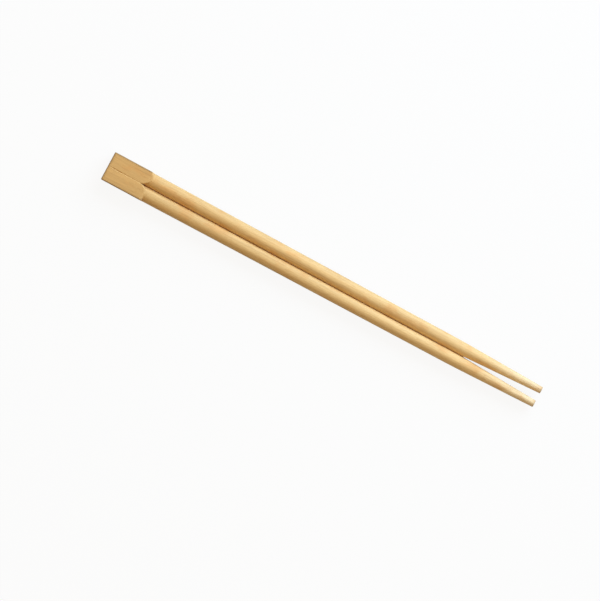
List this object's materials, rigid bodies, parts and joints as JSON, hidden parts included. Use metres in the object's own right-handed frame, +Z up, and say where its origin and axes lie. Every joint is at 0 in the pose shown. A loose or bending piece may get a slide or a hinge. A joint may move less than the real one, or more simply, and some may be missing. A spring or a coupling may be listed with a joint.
{
  "type": "bamboo chopsticks",
  "caption": "Disposable bamboo chopsticks still joined at a flat head, with a sawn slit, rounded sticks and tapered tips, to be snapped apart for eating.",
  "frame": {"origin": "middle of the length and width, on the underside that the pair lies on", "axes": "+X from the joined head towards the tips, +Y across the pair, +Z up through its thickness"},
  "size_m": [0.21, 0.0132, 0.0067],
  "materials": {
    "bamboo": "bare sanded bamboo, fine grain along the length, paler towards the tips"
  },
  "bodies": {
    "root": {"chopstick_pair": "bamboo"}
  },
  "joints": []
}
